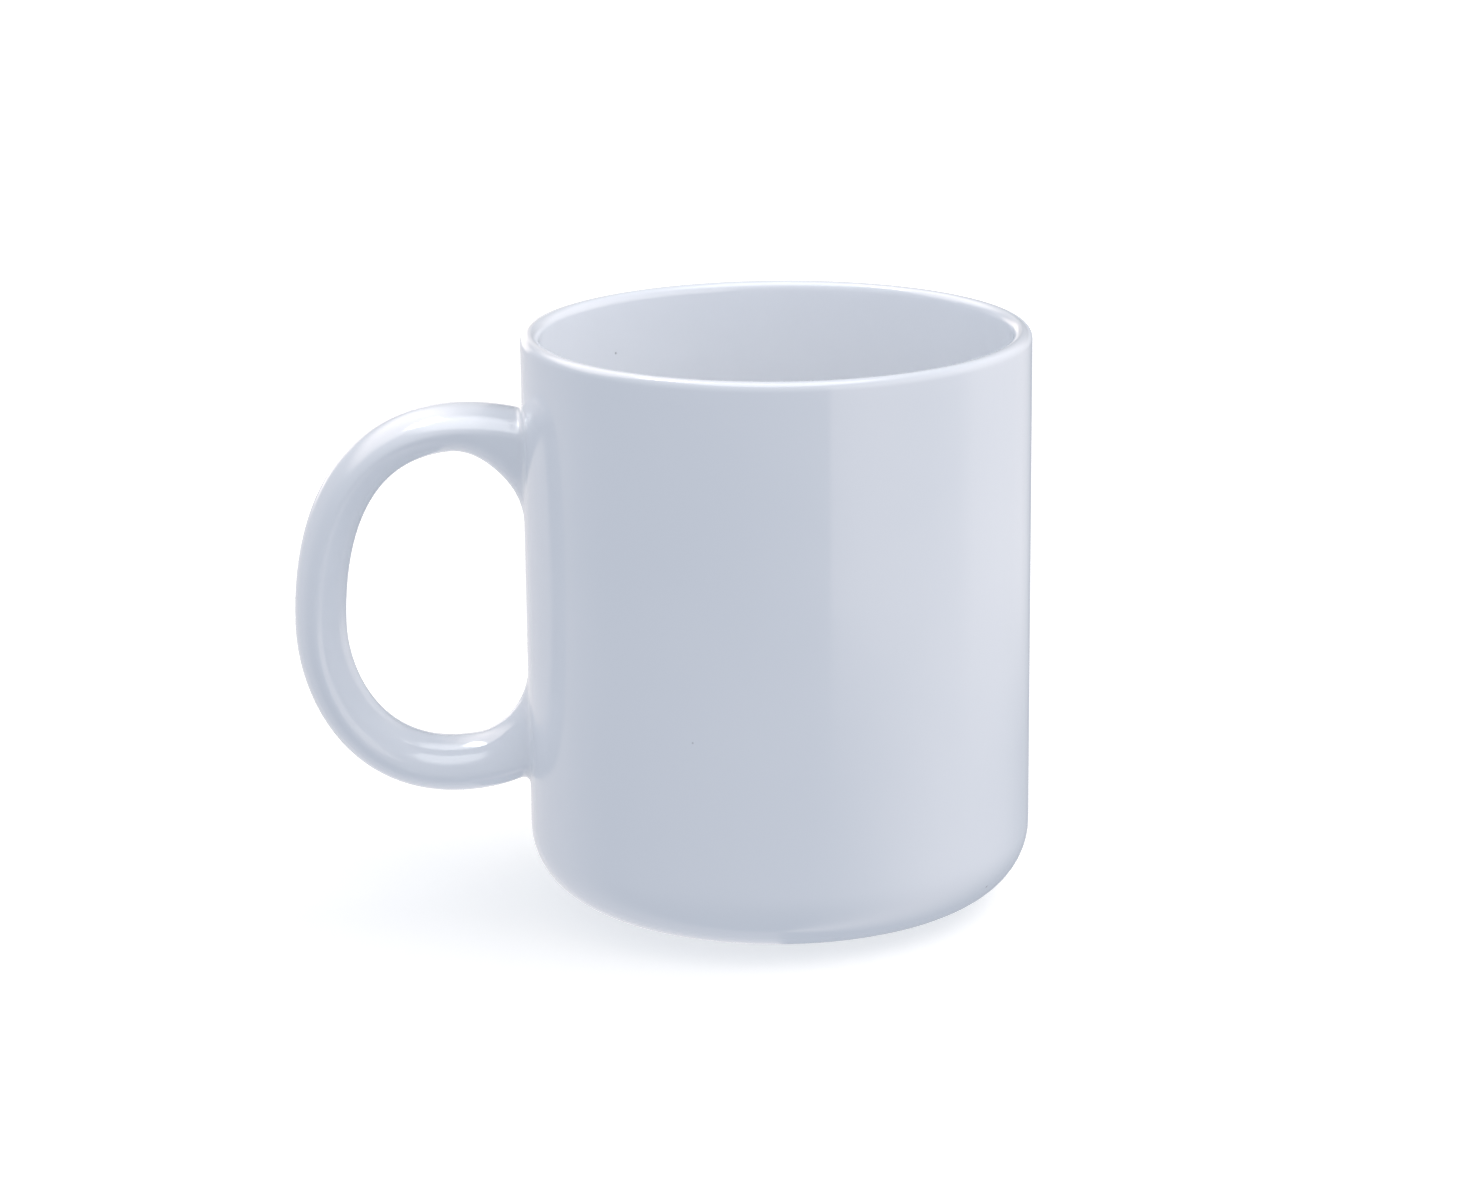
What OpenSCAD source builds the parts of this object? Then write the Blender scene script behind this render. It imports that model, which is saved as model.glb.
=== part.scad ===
// Straight-sided ceramic mug: a jiggered cup, a cast handle stuck on with slip at both ends, and fired glaze.
// The origin is on the cup's axis at the table, +Z is up and the handle stands out along -X.

/* [Cup] */
// Outside diameter, over the glaze
cup_d = 82.5; // [70:0.5:100]
// Height from the table to the crest of the lip
cup_h = 95; // [75:0.5:120]
// Wall from the outer glaze to the inner glaze; the lip is rounded over its whole width
wall_t = 3; // [2.5:0.1:5]
// Height of the glazed floor above the table
floor_z = 8; // [6.5:0.1:12]
// Radius of the rounded heel
heel_r = 11; // [4:0.5:15]
// Radius between the wall and the floor, inside
inner_r = 8; // [2:0.5:14]

/* [Foot] */
// Height of the heel's underside above the table
foot_h = 1.5; // [1:0.1:3]
// From the cup's side in to the outside of the foot ring
foot_inset = 15; // [10:0.5:20]
// Width of the foot ring
foot_w = 3.5; // [2.5:0.1:6]
// Rounding of the foot ring's two edges
foot_edge = 0.8; // [0.3:0.1:1.2]
// Height of the glazed recess inside the foot ring
recess_z = 3; // [2.5:0.1:4]
// Radius round the top of the recess
recess_r = 1.2; // [0.5:0.1:1.4]
// Height to which the base glaze is wiped back above the table
wipe_z = 1; // [0.8:0.1:1.2]

/* [Handle loop] */
// From the clay wall out to the furthest point of the handle's centre line
grip_reach = 34.3; // [28:0.1:42]
// Drop of the upper root's centre below the lip's crest
root_drop = 16.9; // [14:0.1:24]
// Height of the lower root's centre above the table
root_rise = 25.1; // [20:0.1:32]
// Where the loop stands out furthest, as a share of the way up from the lower root to the upper root
bulge_share = 0.4; // [0.3:0.01:0.6]
// Slope at which the upper arm climbs away from the wall, in degrees
top_slope = 13; // [0:1:25]
// Slope at which the lower arm drops away from the wall, in degrees
low_slope = 22; // [0:1:30]
// How far the upper arm keeps going out before it turns, as a share of the reach
top_out = 0.88; // [0.5:0.01:0.95]
// How far the loop's side runs straight up, as a share of the way to the upper root
top_up = 0.46; // [0.3:0.01:0.95]
// How far the lower arm keeps going out before it turns, as a share of the reach
low_out = 0.78; // [0.5:0.01:0.95]
// How far the loop's side runs straight down, as a share of the way to the lower root
low_down = 0.61; // [0.3:0.01:0.95]

/* [Handle section] */
// Width of the handle across the loop, over the glaze
grip_w = 14.5; // [10:0.5:18]
// Thickness of the grip at its furthest point, over the glaze
grip_t = 8.4; // [6:0.1:11]
// Thickness of the upper arm where it nears the wall, over the glaze
top_t = 7.8; // [5:0.1:10]
// Thickness of the lower arm where it nears the wall, over the glaze
low_t = 9.3; // [5:0.1:10]
// Squareness of the section: 2 is an ellipse, and less brings it to a ridge on each side
square_n = 1.6; // [1.5:0.1:3]
// How far the ridges lie outwards of the section's middle, as a share of its thickness
ridge_share = 0.05; // [0:0.01:0.15]

/* [Handle roots] */
// Length of the web under the upper arm
top_web_l = 13; // [6:0.1:16]
// Height of the web under the upper arm
top_web_h = 12; // [4:0.1:14]
// Length of the web over the lower arm
low_web_l = 8; // [4:0.1:12]
// Height of the web over the lower arm
low_web_h = 9.5; // [3:0.1:12]
// Radius at which the rest of the upper root spreads on the wall
top_fillet = 1.5; // [1:0.1:3]
// Radius at which the rest of the lower root spreads on the wall
low_fillet = 2; // [1:0.1:3]
// Thickness of the slip between the handle and the wall
slip_t = 0.9; // [0.5:0.1:1.4]

/* [Glaze] */
// Thickness of the fired glaze
glaze_t = 0.4; // [0.2:0.05:0.6]

/* [Hidden] */

$fn = 128;
clear = 1; // how far a cutting shape runs past what it cuts

cup_r = cup_d / 2;
clay_r = cup_r - glaze_t;
bore_r = cup_r - wall_t;
lip_r = wall_t / 2;
lip_at = [cup_r - lip_r, cup_h - lip_r];
heel_at = [cup_r - heel_r, foot_h + heel_r];
inner_at = [bore_r - inner_r, floor_z + inner_r];
foot_ro = cup_r - foot_inset;
foot_ri = foot_ro - foot_w;
recess_at = [foot_ri - glaze_t - recess_r, recess_z - recess_r];

// The loop's centre line in the plane of radius and height: two cubic curves that meet at its furthest point.
top_z = cup_h - root_drop;
tip = [clay_r + grip_reach, root_rise + bulge_share * (top_z - root_rise)];
top_curve = [
    [clay_r, top_z],
    [clay_r, top_z] + top_out * grip_reach * [cos(top_slope), sin(top_slope)],
    tip + [0, top_up * (top_z - tip[1])],
    tip
];
low_curve = [
    [clay_r, root_rise],
    [clay_r, root_rise] + low_out * grip_reach * [cos(low_slope), -sin(low_slope)],
    tip - [0, low_down * (tip[1] - root_rise)],
    tip
];

sides = 32; // points round the handle's section
arm_n = 24; // rings on each arm
slip_n = 3; // of those, rings across the slip
last = 2 * arm_n; // the ring at the lower end
bunching = 1.6; // how strongly the rings crowd towards the wall
turn_l = 9; // length over which the sections turn from upright to square with the centre line
cap_n = 3; // rings that fill each end of the handle

function bezier(p, t) =
    pow(1 - t, 3) * p[0] + 3 * pow(1 - t, 2) * t * p[1] + 3 * (1 - t) * t * t * p[2] + pow(t, 3) * p[3];
function heading(p, t) =
    pow(1 - t, 2) * (p[1] - p[0]) + 2 * (1 - t) * t * (p[2] - p[1]) + t * t * (p[3] - p[2]);
function unit(v) = v / norm(v);
function ease(x) = let (t = min(max(x, 0), 1)) t * t * (3 - 2 * t);
function power(x) = sign(x) * pow(abs(x), 2 / square_n);

// Height of a quarter ellipse of length l and height h, at distance d from the wall that it runs into.
function spread(d, l, h) = let (x = min(max(1 - d / l, 0), 1)) h * (1 - sqrt(1 - x * x));

// Rings count from the wall at the upper root, round the loop, to the wall at the lower root.
function is_top(i) = i <= arm_n;
function curve(i) = is_top(i) ? top_curve : low_curve;
function travel(i) =
    let (k = is_top(i) ? i : last - i, start = slip_t / (3 * (curve(i)[1][0] - clay_r)))
    k <= slip_n ? start * pow(k / slip_n, 2)
        : start + (1 - start) * pow((k - slip_n) / (arm_n - slip_n), bunching);

// One ring of clay as points of radius, side and height. Near the wall it stands upright on it.
function clay_ring(i) =
    let (
        t = travel(i),
        c = bezier(curve(i), t),
        d = c[0] - clay_r,
        along = unit(heading(curve(i), t)) * (is_top(i) ? 1 : -1),
        upright = [0, is_top(i) ? 1 : -1],
        turn = ease((d - slip_t) / turn_l),
        out = unit(upright * (1 - turn) + [-along[1], along[0]] * turn),
        root_t = is_top(i) ? top_t : low_t,
        fillet = is_top(i) ? top_fillet : low_fillet,
        web = is_top(i) ? [top_web_l, top_web_h] : [low_web_l, low_web_h],
        full_t = root_t + (grip_t - root_t) * pow(sin(90 * t), 2),
        half_t = full_t / 2 - glaze_t,
        ridge = ridge_share * full_t,
        skirt = spread(d, fillet, fillet),
        inner_t = half_t + spread(d, web[0], web[1]),
        outer_t = half_t + skirt,
        half_w = grip_w / 2 - glaze_t + skirt
    )
    [for (j = [0 : sides - 1])
        let (
            u = power(cos(360 * j / sides)),
            v = power(sin(360 * j / sides)),
            h = ridge + u * (u > 0 ? outer_t - ridge : inner_t + ridge)
        )
        [c[0] + out[0] * h, half_w * v, c[1] + out[1] * h]];

clay = [for (i = [0 : last]) clay_ring(i)];

// The same ring pushed out by the glaze, square with the clay; at the wall that is straight out.
function glaze_ring(i) =
    [for (j = [0 : sides - 1])
        let (
            a = clay[min(i + 1, last)][j] - clay[max(i - 1, 0)][j],
            b = clay[i][(j + 1) % sides] - clay[i][(j + sides - 1) % sides],
            n = i == 0 || i == last ? [1, 0, 0] : unit(cross(a, b))
        )
        clay[i][j] + glaze_t * n];

// A ring shrunk towards its middle, to fill the end of a solid.
function middle(ring) = (ring[0] + ring[sides / 2]) / 2;
function shrunk(ring, s) = [for (p = ring) middle(ring) * (1 - s) + p * s];

// A point of radius, side and height put round the cup's axis.
function placed(p) = [-sqrt(p[0] * p[0] - p[1] * p[1]), p[1], p[2]];

function band(a, b) =
    [for (j = [0 : sides - 1])
        let (k = (j + 1) % sides)
        each [[a + j, b + j, a + k], [a + k, b + j, b + k]]];

// A solid through the rings, with both ends filled.
module filled_tube(rings) {
    first_cap = [for (s = [1 : cap_n - 1]) shrunk(rings[0], s / cap_n)];
    last_cap = [for (s = [cap_n - 1 : -1 : 1]) shrunk(rings[len(rings) - 1], s / cap_n)];
    all_rings = concat(first_cap, rings, last_cap);
    flat_points = [for (ring = all_rings) each ring];
    ends = [middle(rings[0]), middle(rings[len(rings) - 1])];
    n = len(flat_points);
    end_ring = n - sides;
    polyhedron(
        points = [for (p = concat(flat_points, ends)) placed(p)],
        faces = concat(
            [for (i = [0 : len(all_rings) - 2]) each band(i * sides, (i + 1) * sides)],
            [for (j = [0 : sides - 1]) [n, j, (j + 1) % sides]],
            [for (j = [0 : sides - 1]) [end_ring + j, n + 1, end_ring + (j + 1) % sides]]
        )
    );
}

// A solid through the rings that closes on itself, so that it is a skin.
module ring_skin(rings) {
    m = len(rings);
    polyhedron(
        points = [for (ring = rings) for (p = ring) placed(p)],
        faces = [for (i = [0 : m - 1]) each band(i * sides, ((i + 1) % m) * sides)]
    );
}

// Everything inside the cup's outer face, with that face moved in by g.
module outside(g) {
    translate([0, heel_at[1]]) square([cup_r - g, lip_at[1] - heel_at[1]]);
    translate([0, foot_h + g]) square([heel_at[0], cup_h - foot_h - 2 * g]);
    translate([0, heel_at[1]]) square([lip_at[0], cup_h - g - heel_at[1]]);
    translate(heel_at) circle(heel_r - g);
    translate(lip_at) circle(lip_r - g);
}

// The space in the cup, with its face moved out by g, up to the crest of the lip.
module inside(g) {
    translate([0, inner_at[1]]) square([bore_r + g, lip_at[1] - inner_at[1]]);
    translate([0, floor_z - g]) square([inner_at[0], inner_r + 2 * g]);
    translate(inner_at) circle(inner_r + g);
    difference() {
        translate([0, lip_at[1]]) square([lip_at[0], lip_r + clear]);
        translate(lip_at) circle(lip_r - g);
    }
}

// The recess under the floor, with its face moved out by g.
module recess(g) {
    translate([0, -clear]) square([foot_ri - glaze_t + g, recess_at[1] + clear]);
    square([recess_at[0], recess_z + g]);
    translate(recess_at) circle(recess_r + g);
}

// The foot ring before its middle is cut away.
module foot_block() {
    square([foot_ro - foot_edge, foot_h + glaze_t + clear]);
    translate([0, foot_edge]) square([foot_ro, foot_h + glaze_t + clear - foot_edge]);
    translate([foot_ro - foot_edge, foot_edge]) circle(foot_edge);
}

// What rounds the foot ring's inner edge.
module foot_relief() {
    difference() {
        translate([0, -clear]) square([foot_ri + foot_edge, clear + foot_edge]);
        translate([foot_ri + foot_edge, foot_edge]) circle(foot_edge);
    }
}

// The root's outline on the wall, cut through the outer glaze.
module root_opening(ring) {
    translate([-cup_r - clear, 0, 0]) rotate([90, 0, 90]) linear_extrude(cup_r / 2)
        polygon([for (p = ring) [p[1], p[2]]]);
}

module cup_body() {
    color("gainsboro") rotate_extrude() difference() {
        union() {
            difference() {
                outside(glaze_t);
                inside(glaze_t);
            }
            foot_block();
        }
        recess(glaze_t);
        foot_relief();
    }
}

module handle() {
    color("gainsboro") filled_tube([for (i = [slip_n : last - slip_n]) clay[i]]);
}

module upper_slip_joint() {
    color("lightgray") filled_tube([for (i = [0 : slip_n]) clay[i]]);
}

module lower_slip_joint() {
    color("lightgray") filled_tube([for (i = [last - slip_n : last]) clay[i]]);
}

module outer_glaze() {
    color("aliceblue") difference() {
        rotate_extrude() difference() {
            outside(0);
            outside(glaze_t);
            foot_block();
            translate([0, lip_at[1]]) square([lip_at[0], lip_r + clear]);
        }
        root_opening(clay[0]);
        root_opening(clay[last]);
    }
}

module liner_glaze() {
    color("aliceblue") rotate_extrude() difference() {
        inside(glaze_t);
        inside(0);
    }
}

module handle_glaze() {
    skin = [for (i = [0 : last]) glaze_ring(i)];
    color("aliceblue") ring_skin(concat(skin, [for (i = [last : -1 : 0]) clay[i]]));
}

module base_glaze() {
    color("aliceblue") rotate_extrude() difference() {
        recess(glaze_t);
        recess(0);
        translate([0, -clear]) square([foot_ro, wipe_z + clear]);
    }
}

cup_body();
handle();
upper_slip_joint();
lower_slip_joint();
outer_glaze();
liner_glaze();
handle_glaze();
base_glaze();
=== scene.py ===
import math

import bmesh
import bpy
from mathutils import Matrix, Vector


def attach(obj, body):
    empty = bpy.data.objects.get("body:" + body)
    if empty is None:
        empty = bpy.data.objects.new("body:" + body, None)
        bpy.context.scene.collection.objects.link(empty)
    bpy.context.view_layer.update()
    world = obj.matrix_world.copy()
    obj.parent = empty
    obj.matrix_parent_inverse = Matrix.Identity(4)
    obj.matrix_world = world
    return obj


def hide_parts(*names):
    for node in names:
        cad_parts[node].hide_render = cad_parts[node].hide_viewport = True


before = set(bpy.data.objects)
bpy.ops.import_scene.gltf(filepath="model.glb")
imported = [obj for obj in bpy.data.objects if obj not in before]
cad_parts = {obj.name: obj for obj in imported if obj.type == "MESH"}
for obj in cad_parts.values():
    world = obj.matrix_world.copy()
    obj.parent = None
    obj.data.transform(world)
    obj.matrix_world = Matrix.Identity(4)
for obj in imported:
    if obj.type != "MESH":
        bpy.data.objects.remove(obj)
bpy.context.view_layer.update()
print("frame loaded:", sorted(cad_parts))


# ---- camera ----

camera = {
    "place": (0.0, -0.6568, 0.2315),
    "lens": 101.15,
    "pitch": 0.27010,  # radians below the horizon
    "yaw": -0.00962,
    "roll": -0.01035,
}


def addCamera():
    pitch, yaw, roll = camera["pitch"], camera["yaw"], camera["roll"]
    ahead = Vector((math.sin(yaw) * math.cos(pitch), math.cos(yaw) * math.cos(pitch), -math.sin(pitch)))
    right = Vector((math.cos(yaw), -math.sin(yaw), 0))
    up = right.cross(ahead)
    leaning = math.cos(roll) * right + math.sin(roll) * up
    standing = math.cos(roll) * up - math.sin(roll) * right
    lensData = bpy.data.cameras.new("viewer")
    lensData.lens = camera["lens"]
    lensData.clip_start, lensData.clip_end = 0.01, 50
    viewer = bpy.data.objects.new("viewer", lensData)
    bpy.context.scene.collection.objects.link(viewer)
    turn = Matrix((leaning, standing, -ahead)).transposed().to_4x4()
    viewer.matrix_world = Matrix.Translation(camera["place"]) @ turn
    bpy.context.scene.camera = viewer


addCamera()
print("camera placed")


# ---- shader maths: a Signal is a socket, and an expression on it adds the Math nodes ----

class Signal:
    def __init__(self, tree, socket):
        self.tree, self.socket = tree, socket

    def maths(self, operation, *others):
        return self.tree.add("ShaderNodeMath", {"operation": operation}, dict(enumerate((self, *others))))

    def __add__(self, other):
        return self.maths("ADD", other)

    def __sub__(self, other):
        return self.maths("SUBTRACT", other)

    def __rsub__(self, other):
        return self.tree.add("ShaderNodeMath", {"operation": "SUBTRACT"}, {0: other, 1: self})

    def __mul__(self, other):
        return self.maths("MULTIPLY", other)

    __radd__ = __add__
    __rmul__ = __mul__

    def over(self, low, high):  # 0 below low, 1 above high, eased in between
        settings = {"interpolation_type": "SMOOTHSTEP"}
        return self.tree.add("ShaderNodeMapRange", settings, {"Value": self, "From Min": low, "From Max": high})


class Tree:
    def __init__(self, nodeTree):
        self.nodeTree = nodeTree
        nodeTree.nodes.clear()

    def node(self, kind, settings, inputs):
        made = self.nodeTree.nodes.new(kind)
        for name, value in settings.items():
            setattr(made, name, value)
        for name, value in inputs.items():
            if isinstance(value, Signal):
                self.nodeTree.links.new(value.socket, made.inputs[name])
            else:
                made.inputs[name].default_value = value
        return made

    def add(self, kind, settings, inputs, out=0):
        return Signal(self, self.node(kind, settings, inputs).outputs[out])

    def mixed(self, share, first, second):  # of two colours
        return self.add("ShaderNodeMix", {"data_type": "RGBA"}, {0: share, 6: first, 7: second}, 2)

    def noise(self, place, scale, detail=2.0, roughness=0.5):
        inputs = {"Vector": place, "Scale": scale, "Detail": detail, "Roughness": roughness}
        return self.add("ShaderNodeTexNoise", {}, inputs)

    def bumped(self, height, distance, under=None):
        inputs = {"Height": height, "Distance": distance}
        if under is not None:
            inputs["Normal"] = under
        return self.add("ShaderNodeBump", {}, inputs)


def newFinish(name):
    finish = bpy.data.materials.new(name)
    finish.use_nodes = True
    return finish, Tree(finish.node_tree)


# ---- glaze, clay and slip ----

glaze = {
    "white": (0.925, 0.935, 0.95, 1),
    "shade": (0.90, 0.915, 0.935, 1),  # where the glaze lies thicker
    "cloudScale": 28,
    "speck": (0.16, 0.15, 0.14, 1),
    "speckCells": 150,
    "speckless": (0.93, 0.94),  # share of the cells that have no speck
    "speckSize": (0.02, 0.05),  # of a cell, solid and faded out
    "pit": 0.00006,
    "roughness": 0.07,
    "ior": 1.52,
    "swell": 0.00003,  # depth of the slow waves left by the jigger and the dipping
    "swellScale": 55,
    "peel": 0.0000016,  # depth of the fine orange peel
    "peelScale": 1400,
}


def glazeFinish():
    finish, t = newFinish("whiteGlaze")
    place = t.add("ShaderNodeTexCoord", {}, {}, 3)
    depth = t.noise(place, glaze["cloudScale"], 3).over(0.35, 0.7)
    colour = t.mixed(depth * 0.7, glaze["white"], glaze["shade"])
    cells = t.node("ShaderNodeTexVoronoi", {"feature": "F1"}, {"Vector": place, "Scale": glaze["speckCells"]})
    near, cellColour = (Signal(t, cells.outputs[i]) for i in range(2))
    picked = t.add("ShaderNodeSeparateColor", {}, {0: cellColour}).over(*glaze["speckless"])
    speck = picked * (1 - near.over(*glaze["speckSize"]))
    colour = t.mixed(speck * 0.55, colour, glaze["speck"])
    smear = t.noise(place, 90, 4, 0.6)
    normal = t.bumped(t.noise(place, glaze["swellScale"], 1.5), glaze["swell"])
    normal = t.bumped(t.noise(place, glaze["peelScale"], 1), glaze["peel"], normal)
    shader = t.add("ShaderNodeBsdfPrincipled", {}, {
        "Base Color": colour,
        "Roughness": glaze["roughness"] + 0.05 * smear.over(0.45, 0.75) + 0.15 * speck,
        "IOR": glaze["ior"],
        "Normal": t.bumped(1 - speck, glaze["pit"], normal),
    })
    t.node("ShaderNodeOutputMaterial", {}, {0: shader})
    return finish


clay = {
    "fired": (0.80, 0.78, 0.73, 1),
    "worn": (0.70, 0.67, 0.62, 1),
    "sponged": (0.74, 0.73, 0.70, 1),
    "iron": (0.52, 0.44, 0.36, 1),
    "ironCells": 700,
    "patchScale": 120,
    "clayGrain": 1500,
    "slipGrain": 700,
    "grain": 0.00006,  # depth of the grain
}


def clayFinish(name, tint, grainScale):
    finish, t = newFinish(name)
    place = t.add("ShaderNodeTexCoord", {}, {}, 3)
    grain = t.noise(place, grainScale, 5, 0.65)
    patches = t.noise(place, clay["patchScale"], 3)
    cells = t.add("ShaderNodeTexVoronoi", {"feature": "F1"}, {"Vector": place, "Scale": clay["ironCells"]})
    iron = (1 - cells.over(0.06, 0.16)) * patches.over(0.5, 0.62)
    colour = t.mixed(patches.over(0.3, 0.75) * 0.5, clay["fired"], tint)
    colour = t.mixed(iron * 0.7, colour, clay["iron"])
    shader = t.add("ShaderNodeBsdfPrincipled", {}, {
        "Base Color": colour,
        "Roughness": 0.82 + 0.12 * grain,
        "Normal": t.bumped(grain, clay["grain"]),
    })
    t.node("ShaderNodeOutputMaterial", {}, {0: shader})
    return finish


def dress(piece, finish):
    piece.data.materials.clear()
    piece.data.materials.append(finish)


whiteGlaze = glazeFinish()
firedClay = clayFinish("firedClay", clay["worn"], clay["clayGrain"])
firedSlip = clayFinish("firedSlip", clay["sponged"], clay["slipGrain"])
print("finishes made")


# ---- modelling helpers ----

def alone(piece):
    bpy.ops.object.select_all(action="DESELECT")
    piece.select_set(True)
    bpy.context.view_layer.objects.active = piece


def arc(middle, radius, start, end, steps):  # points in radius and height, at degrees from outwards
    turns = [math.radians(start + (end - start) * i / steps) for i in range(steps + 1)]
    return [(middle[0] + radius * math.cos(a), middle[1] + radius * math.sin(a)) for a in turns]


def rise(radius, low, high, steps):
    return [(radius, low + (high - low) * i / steps) for i in range(steps + 1)]


def turned(name, profile, steps):  # spins a profile round the cup's axis
    bpy.ops.object.select_all(action="DESELECT")
    bpy.ops.mesh.primitive_plane_add(size=0.002, location=(profile[0][0], 0, profile[0][1]))
    piece = bpy.context.object
    piece.name = piece.data.name = name
    bpy.ops.object.transform_apply(location=True, rotation=False, scale=False)
    bpy.ops.object.mode_set(mode="EDIT")
    bpy.ops.mesh.select_mode(type="VERT")
    bpy.ops.mesh.select_all(action="SELECT")
    bpy.ops.mesh.merge(type="CENTER")
    for a, b in zip(profile, profile[1:]):
        bpy.ops.mesh.extrude_vertices_move(TRANSFORM_OT_translate={"value": (b[0] - a[0], 0, b[1] - a[1])})
    bpy.ops.mesh.select_all(action="SELECT")
    bpy.ops.mesh.spin(steps=steps, angle=math.tau, center=(0, 0, 0), axis=(0, 0, 1))
    bpy.ops.mesh.select_all(action="SELECT")
    bpy.ops.mesh.remove_doubles(threshold=0.000002)
    bpy.ops.object.mode_set(mode="OBJECT")
    return piece


def faceTheRightWay(piece, lookAt, direction):  # recalculates, then checks the face nearest to a place
    alone(piece)
    bpy.ops.object.mode_set(mode="EDIT")
    bpy.ops.mesh.select_all(action="SELECT")
    bpy.ops.mesh.normals_make_consistent(inside=False)
    mesh = bmesh.from_edit_mesh(piece.data)
    nearest = min(mesh.faces, key=lambda f: (f.calc_center_median() - Vector(lookAt)).length)
    if nearest.normal.dot(Vector(direction)) < 0:
        bpy.ops.mesh.flip_normals()
    bpy.ops.object.mode_set(mode="OBJECT")


def thicken(piece):  # gives a skin the wall of a coat, a little less than the clay leaves for it
    alone(piece)
    wall = piece.modifiers.new("wall", "SOLIDIFY")
    wall.thickness = cup["glaze"] * 0.9
    wall.offset = -1
    wall.use_even_offset = True
    bpy.ops.object.modifier_apply(modifier=wall.name)
    bpy.ops.object.shade_smooth_by_angle(angle=math.radians(35))


# ---- outer coat: the cup's outside, the lip and the handle, one skin of glaze ----

cup = {
    "radius": 0.04125,
    "height": 0.095,
    "lip": 0.0015,
    "heel": 0.011,
    "foot": 0.0015,
    "coatFoot": 0.0264,  # where the glaze was wiped off round the foot ring
    "bore": 0.03825,
    "seam": 0.0885,  # height at which the outer coat runs into the liner
    "floor": 0.008,
    "corner": 0.008,
    "glaze": 0.0004,
    "columns": 192,
}

roots = [  # the stretches of wall that the handle grows out of
    {"low": 0.0170, "high": 0.0416},
    {"low": 0.0604, "high": 0.0850},
]
rootRows, rootColumns = 14, 18

loop = {
    "clay": 0.04085,
    "reach": 0.0343,
    "topRoot": 0.0781,
    "lowRoot": 0.0251,
    "tipShare": 0.4,
    "topSlope": 13,
    "lowSlope": 22,
    "topOut": 0.88,
    "topUp": 0.46,
    "lowOut": 0.78,
    "lowDown": 0.61,
    "width": 0.0145,
    "grip": 0.0084,
    "topThick": 0.0078,
    "lowThick": 0.0093,
    "square": 1.6,
    "ridge": 0.05,  # how far the widest line lies outwards, as a share of the thickness
    "topWeb": (0.0126, 0.0116),
    "lowWeb": (0.0076, 0.0091),
    "topFillet": 0.0011,
    "lowFillet": 0.0016,
    "turn": 0.009,  # length over which the rings turn from upright to square with the loop
    "rings": 40,
    "bunching": 1.8,
    "sides": 64,
}


def wallProfile():
    r, lip, heel, foot = cup["radius"], cup["lip"], cup["heel"], cup["foot"]
    points = [(cup["coatFoot"], foot)]
    points += arc((r - heel, foot + heel), heel, -90, 0, 14)
    top = cup["height"] - lip
    marks = [foot + heel, roots[0]["low"], roots[0]["high"], roots[1]["low"], roots[1]["high"], top]
    for low, high, rows in zip(marks, marks[1:], (2, rootRows, 8, rootRows, 4)):
        points += rise(r, low, high, rows)[1:]
    points += arc((r - lip, top), lip, 0, 180, 24)[1:]
    points += rise(cup["bore"], top, cup["seam"], 2)[1:]
    return points


def ease(x):
    x = min(max(x, 0), 1)
    return x * x * (3 - 2 * x)


def spread(distance, web):  # a quarter ellipse that runs into the wall
    x = min(max(1 - distance / web[0], 0), 1)
    return web[1] * (1 - math.sqrt(1 - x * x))


def signedPower(x, p):
    return math.copysign(abs(x) ** p, x)


def armCurve(isTop):
    start = Vector((loop["clay"], loop["topRoot"] if isTop else loop["lowRoot"]))
    tip = Vector((loop["clay"] + loop["reach"],
                  loop["lowRoot"] + loop["tipShare"] * (loop["topRoot"] - loop["lowRoot"])))
    slope = math.radians(loop["topSlope"] if isTop else -loop["lowSlope"])
    out = (loop["topOut"] if isTop else loop["lowOut"]) * loop["reach"]
    run = (loop["topUp"] if isTop else loop["lowDown"]) * (start.y - tip.y)
    return [start, start + out * Vector((math.cos(slope), math.sin(slope))), tip + Vector((0, run)), tip]


def handleRing(isTop, t):  # places of one ring of the loop, round the cup's axis
    p = armCurve(isTop)
    s = 1 - t
    middle = s ** 3 * p[0] + 3 * s * s * t * p[1] + 3 * s * t * t * p[2] + t ** 3 * p[3]
    heading = s * s * (p[1] - p[0]) + 2 * s * t * (p[2] - p[1]) + t * t * (p[3] - p[2])
    heading = heading.normalized() * (1 if isTop else -1)
    distance = middle.x - cup["radius"]
    turn = ease((distance - 0.0005) / loop["turn"])
    out = Vector((0, 1 if isTop else -1)) * (1 - turn) + Vector((-heading.y, heading.x)) * turn
    out.normalize()
    rootThick = loop["topThick"] if isTop else loop["lowThick"]
    fillet = loop["topFillet"] if isTop else loop["lowFillet"]
    half = (rootThick + (loop["grip"] - rootThick) * math.sin(math.pi / 2 * t) ** 2) / 2
    ridge = 2 * half * loop["ridge"]
    skirt = spread(distance, (fillet, fillet))
    inner = half + spread(distance, loop["topWeb"] if isTop else loop["lowWeb"])
    side = loop["width"] / 2 + skirt
    places = []
    for j in range(loop["sides"]):
        angle = math.tau * j / loop["sides"]
        u = signedPower(math.cos(angle), 2 / loop["square"])
        v = signedPower(math.sin(angle), 2 / loop["square"])
        height = ridge + u * (half + skirt - ridge if u > 0 else inner + ridge)
        radius, y = middle.x + out.x * height, side * v
        places.append(Vector((-math.sqrt(radius * radius - y * y), y, middle.y + out.y * height)))
    return places


def armRings(isTop):  # from the glazed wall to the loop's furthest point, closest together at the wall
    ends = armCurve(isTop)
    start = (cup["radius"] - loop["clay"]) / (3 * (ends[1].x - ends[0].x))
    travel = [(k / loop["rings"]) ** loop["bunching"] for k in range(loop["rings"] + 1)]
    return [handleRing(isTop, start + (1 - start) * t) for t in travel]


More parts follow.
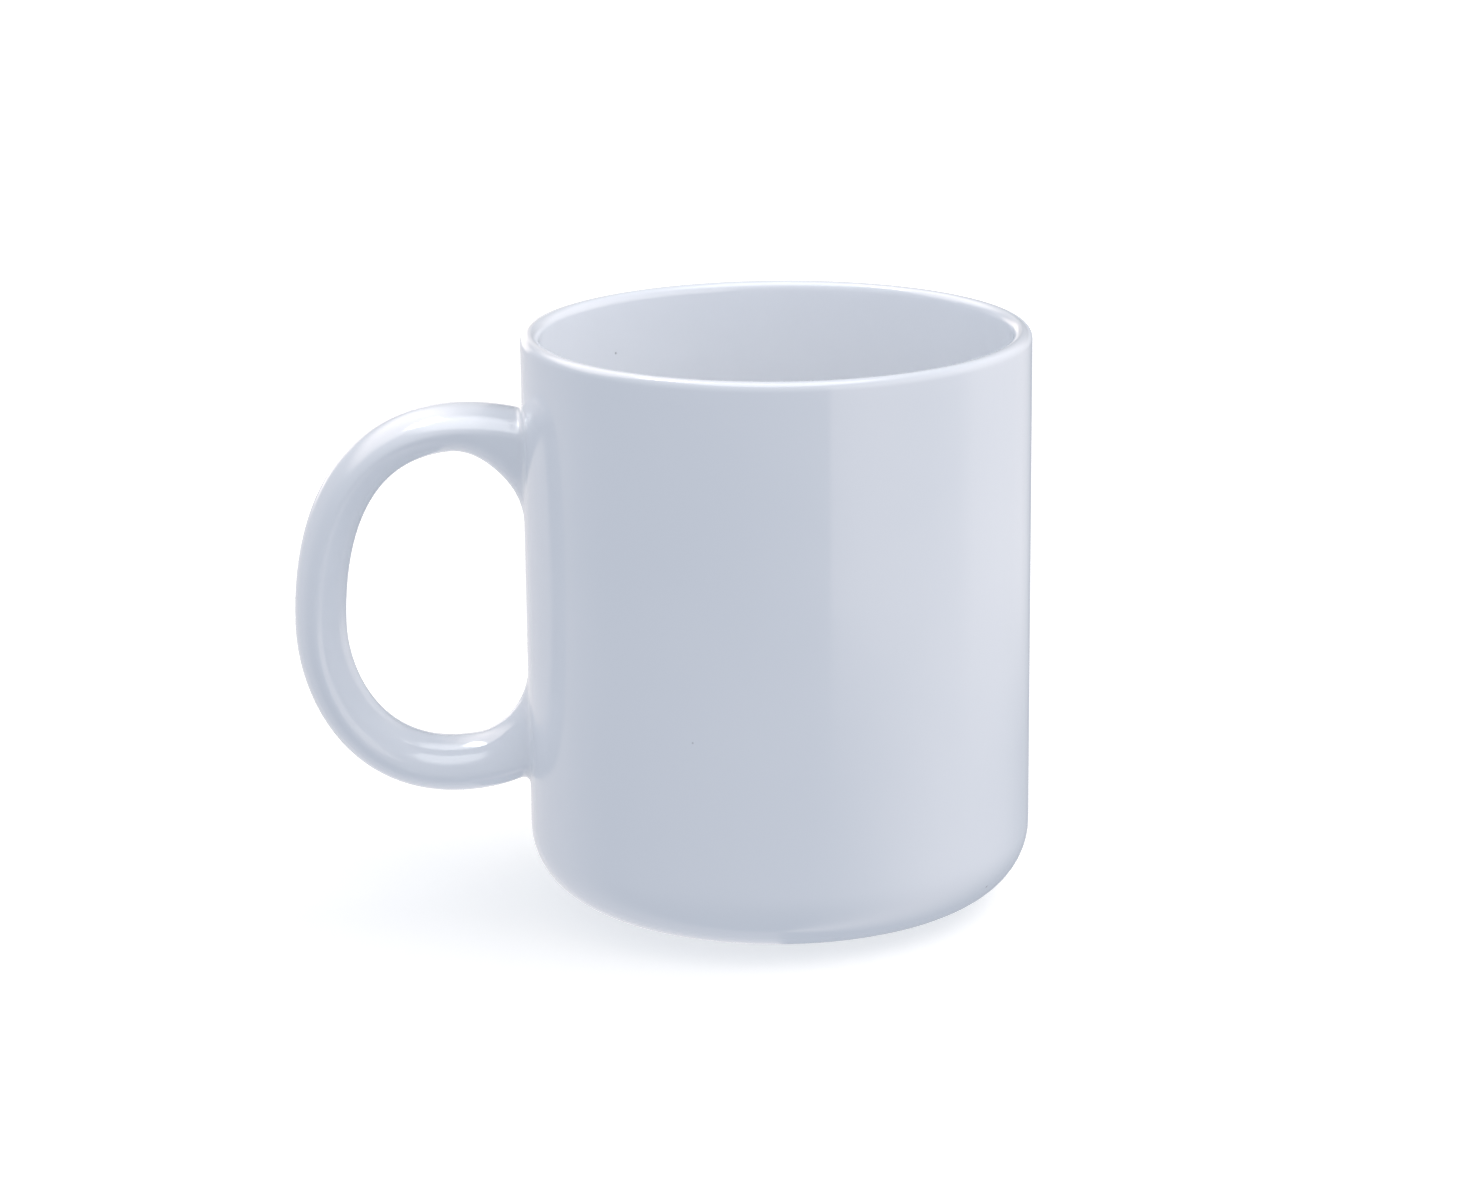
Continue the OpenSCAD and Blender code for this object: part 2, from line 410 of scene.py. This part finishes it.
def makeHandle():  # a ring is extruded along the loop, and each new ring is put in its place
    rings = armRings(True) + armRings(False)[-2::-1]
    bpy.ops.object.select_all(action="DESELECT")
    bpy.ops.mesh.primitive_circle_add(vertices=loop["sides"], radius=loop["width"] / 2, fill_type="NOTHING")
    handle = bpy.context.object
    bpy.ops.object.mode_set(mode="EDIT")
    mesh = bmesh.from_edit_mesh(handle.data)
    ring = sorted(mesh.verts, key=lambda v: v.index)
    for vertex, place in zip(ring, rings[0]):
        vertex.co = place
    for places in rings[1:]:
        bpy.ops.mesh.select_all(action="DESELECT")
        before = [v.co.copy() for v in ring]
        mesh = bmesh.from_edit_mesh(handle.data)
        mesh.verts.ensure_lookup_table()
        newest = mesh.verts[-loop["sides"]:]
        for v in newest:
            v.select = True
        mesh.select_flush(True)
        mesh.select_flush_mode()
        bpy.ops.mesh.extrude_edges_move()
        mesh = bmesh.from_edit_mesh(handle.data)
        lifted = [v for v in mesh.verts if v.select]
        ring = [min(lifted, key=lambda v: (v.co - at).length_squared) for at in before]
        for vertex, place in zip(ring, places):
            vertex.co = place
    bmesh.update_edit_mesh(handle.data)
    bpy.ops.object.mode_set(mode="OBJECT")
    return handle


def cutRoots(coat):  # takes out the wall behind each root
    bpy.ops.object.mode_set(mode="EDIT")
    bpy.ops.mesh.select_mode(type="FACE")
    bpy.ops.mesh.select_all(action="DESELECT")
    mesh = bmesh.from_edit_mesh(coat.data)
    reach = math.pi * (rootColumns + 0.5) / cup["columns"]
    for face in mesh.faces:
        middle = face.calc_center_median()
        around = abs(math.atan2(middle.y, -middle.x))
        inRoot = any(root["low"] < middle.z < root["high"] for root in roots)
        face.select = inRoot and around < reach and middle.xy.length > 0.04
    bmesh.update_edit_mesh(coat.data)
    bpy.ops.mesh.delete(type="FACE")
    bpy.ops.object.mode_set(mode="OBJECT")


def growHandle(coat, handle):  # joins the loop to the wall through a fan of faces laid on the cup
    alone(coat)
    handle.select_set(True)
    bpy.ops.object.join()
    reach = cup["radius"] * math.sin(math.pi * (rootColumns + 1) / cup["columns"])
    for root in roots:
        bpy.ops.object.mode_set(mode="EDIT")
        bpy.ops.mesh.select_mode(type="EDGE")
        bpy.ops.mesh.select_all(action="DESELECT")
        mesh = bmesh.from_edit_mesh(coat.data)
        for edge in mesh.edges:
            middle = (edge.verts[0].co + edge.verts[1].co) / 2
            inRoot = root["low"] - 0.0005 < middle.z < root["high"] + 0.0005
            edge.select = edge.is_boundary and inRoot and middle.x < 0 and abs(middle.y) < reach
        bmesh.update_edit_mesh(coat.data)
        bpy.ops.mesh.bridge_edge_loops(number_cuts=2, interpolation="LINEAR")
        mesh = bmesh.from_edit_mesh(coat.data)
        for vertex in mesh.verts:
            around = vertex.co.xy.length
            inRoot = root["low"] < vertex.co.z < root["high"]
            if inRoot and vertex.co.x < 0 and abs(vertex.co.y) < reach and 0.04 < around < cup["radius"]:
                vertex.co.xy *= cup["radius"] / around
        bmesh.update_edit_mesh(coat.data)
        bpy.ops.object.mode_set(mode="OBJECT")


outerCoat = turned("outerCoat", wallProfile(), cup["columns"])
cutRoots(outerCoat)
growHandle(outerCoat, makeHandle())
faceTheRightWay(outerCoat, (cup["radius"], 0, 0.05), (1, 0, 0))
thicken(outerCoat)
dress(outerCoat, whiteGlaze)
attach(outerCoat, "root")
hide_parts("outer_glaze", "handle_glaze")
print("outer coat made:", len(outerCoat.data.polygons), "faces")


# ---- liner coat: the inside wall and floor ----

def linerProfile():
    corner = (cup["bore"] - cup["corner"], cup["floor"] + cup["corner"])
    hub = 0.004  # radius of the middle fan of faces
    points = [(0.0, cup["floor"]), (hub, cup["floor"])]
    points += [(hub + (corner[0] - hub) * i / 8, cup["floor"]) for i in range(1, 8)]
    points += arc(corner, cup["corner"], -90, 0, 14)
    points += rise(cup["bore"], corner[1], cup["seam"], 12)[1:]
    return points


linerCoat = turned("linerCoat", linerProfile(), cup["columns"])
faceTheRightWay(linerCoat, (cup["bore"], 0, 0.05), (-1, 0, 0))
thicken(linerCoat)
dress(linerCoat, whiteGlaze)
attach(linerCoat, "root")
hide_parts("liner_glaze")
print("liner coat made:", len(linerCoat.data.polygons), "faces")


# ---- base coat: the recess inside the foot ring ----

base = {
    "wall": 0.02235,
    "ceiling": 0.003,
    "corner": 0.0012,
    "edge": 0.0011,  # height at which the glaze was wiped off
    "columns": 128,
}


def baseProfile():
    corner = (base["wall"] - base["corner"], base["ceiling"] - base["corner"])
    points = [(0.0, base["ceiling"])] + [(corner[0] * i / 8, base["ceiling"]) for i in range(1, 8)]
    points += arc(corner, base["corner"], 90, 0, 8)
    points += [(base["wall"], base["edge"])]
    return points


baseCoat = turned("baseCoat", baseProfile(), base["columns"])
faceTheRightWay(baseCoat, (0.01, 0, base["ceiling"]), (0, 0, -1))
thicken(baseCoat)
dress(baseCoat, whiteGlaze)
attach(baseCoat, "root")
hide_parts("base_glaze")
print("base coat made:", len(baseCoat.data.polygons), "faces")


# ---- clay and slip under the coats ----

dress(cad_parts["cup_body"], firedClay)
dress(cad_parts["handle"], firedClay)
dress(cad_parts["upper_slip_joint"], firedSlip)
dress(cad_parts["lower_slip_joint"], firedSlip)
print("clay and slip dressed")


# ---- floor and studio light ----

studio = {
    "floorSize": 12,
    "floor": (0.93, 0.91, 0.87, 1),
    "floorPatch": (0.95, 0.93, 0.89, 1),
    "floorGlow": 0.3,
    "seen": 1.0,
    "calm": 0.5,
    "calmTint": (0.93, 1.0, 1.13),
    "warmTint": (1.13, 1.0, 0.91),
    "softTint": (0.925, 1.0, 1.145),
    "crownTint": (1.05, 1.0, 0.97),
    "below": 0.25,
    "above": 0.81,
}

# Each box of light has soft edges, in degrees: near and far run round the mug from the front (0) to the
# right (90), foot and head run up from the horizon.
warmBoxes = {
    "panel": {"near": (10, 78), "far": (78, 150), "head": (28, 50), "strength": 1.05},
    "panelEdge": {"near": (22.6, 24.6), "far": (32, 75), "foot": (-18, -14.5), "head": (28, 50), "strength": 1},
    "strip": {"near": (86, 100), "far": (140, 168), "foot": (-18, -14.5), "head": (28, 50), "strength": 0.5},
    "leftWall": {"far": (-120, -80), "strength": 0.4},
    "backLeft": {"near": (-176, -168), "far": (-150, -140), "foot": (-6, 0), "head": (10, 18), "strength": 1.2},
    "leftBox": {"near": (-176, -155), "far": (-105, -80), "foot": (20, 36), "head": (55, 70), "strength": 2.2},
}
whiteBoxes = {
    "overhead": {"foot": (58, 72), "strength": 3.4},
    "lamp": {"near": (-156, -148), "far": (-118, -110), "foot": (56, 59), "head": (67, 70), "strength": 12},
}
darkBoxes = {  # what dims the calm room behind the mug
    "backRight": {"near": (140, 160), "foot": (2, 8), "head": (30, 45), "strength": 0.85},
    "backLeft": {"far": (-160, -140), "foot": (2, 8), "head": (30, 45), "strength": 0.85},
}
skyBoxes = {
    "right": {"near": (20, 70), "far": (120, 165), "foot": (20, 45), "head": (60, 75), "strength": 1.4},
    "crown": {"foot": (25, 60), "strength": 0.28},
    "zenith": {"foot": (55, 80), "strength": 0.15},
    "table": {"head": (-60, -25), "strength": 0.65},
}


def addFloor():
    bpy.ops.object.select_all(action="DESELECT")
    bpy.ops.mesh.primitive_plane_add(size=studio["floorSize"], location=(0, 0, 0))
    floor = bpy.context.object
    floor.name = "floor"
    finish, t = newFinish("paleFloor")
    place = t.add("ShaderNodeTexCoord", {}, {}, 3)
    patches = t.noise(place, 3, 2)
    colour = t.mixed(patches, studio["floor"], studio["floorPatch"])
    shader = t.add("ShaderNodeBsdfPrincipled", {}, {
        "Base Color": colour,
        "Roughness": 0.9,
        "Specular IOR Level": 0.1,
        "Emission Color": colour,
        "Emission Strength": studio["floorGlow"],
    })
    t.node("ShaderNodeOutputMaterial", {}, {0: shader})
    dress(floor, finish)
    floor.visible_diffuse = floor.visible_glossy = floor.visible_shadow = False


def glow(around, height, box):
    share = box["strength"]
    if "near" in box:
        share = share * around.over(*box["near"])
    if "far" in box:
        share = share * (1 - around.over(*box["far"]))
    if "foot" in box:
        share = share * height.over(*box["foot"])
    if "head" in box:
        share = share * (1 - height.over(*box["head"]))
    return share


def addStudio():
    world = bpy.data.worlds.new("studio")
    bpy.context.scene.world = world
    world.use_nodes = True
    t = Tree(world.node_tree)
    toward = t.add("ShaderNodeTexCoord", {}, {}, 0)
    parts = t.node("ShaderNodeSeparateXYZ", {}, {0: toward})
    x, y, z = (Signal(t, parts.outputs[i]) for i in range(3))
    around = x.maths("ARCTAN2", -1 * y) * (180 / math.pi)
    height = z.maths("ARCSINE") * (180 / math.pi)

    def background(tint, strength):
        return t.add("ShaderNodeBackground", {}, {"Color": (*tint, 1), "Strength": strength})

    def both(first, second):
        return t.add("ShaderNodeAddShader", {}, {0: first, 1: second})

    # what the glaze mirrors: a calm room, a big soft panel to the right with its near edge upright, and lamps
    warm = sum(glow(around, height, box) for box in warmBoxes.values())
    white = sum(glow(around, height, box) for box in whiteBoxes.values())
    dark = sum(glow(around, height, box) for box in darkBoxes.values())
    room = background(studio["calmTint"], studio["calm"] * (1 - dark))
    lamps = both(background(studio["warmTint"], warm), background((1, 1, 1), white))
    mirrored = both(room, lamps)
    # what lights it: an even bluish sky over a pale table, with a more neutral crown
    sky = {name: glow(around, height, box) for name, box in skyBoxes.items()}
    even = studio["below"] + (studio["above"] - studio["below"]) * height.over(-14, 16)
    soft = background(studio["softTint"], even + sky["table"] - sky["crown"] - sky["zenith"])
    lighting = both(soft, background(studio["crownTint"], sky["crown"] + sky["right"]))
    path = t.node("ShaderNodeLightPath", {}, {})
    isCamera, isGlossy = Signal(t, path.outputs["Is Camera Ray"]), Signal(t, path.outputs["Is Glossy Ray"])
    shade = t.add("ShaderNodeMixShader", {}, {0: isGlossy, 1: lighting, 2: mirrored})
    shade = t.add("ShaderNodeMixShader", {}, {0: isCamera, 1: shade, 2: background((1, 1, 1), studio["seen"])})
    t.node("ShaderNodeOutputWorld", {}, {0: shade})


addFloor()
addStudio()
bpy.context.scene.view_settings.view_transform = "Standard"
print("floor and light made")
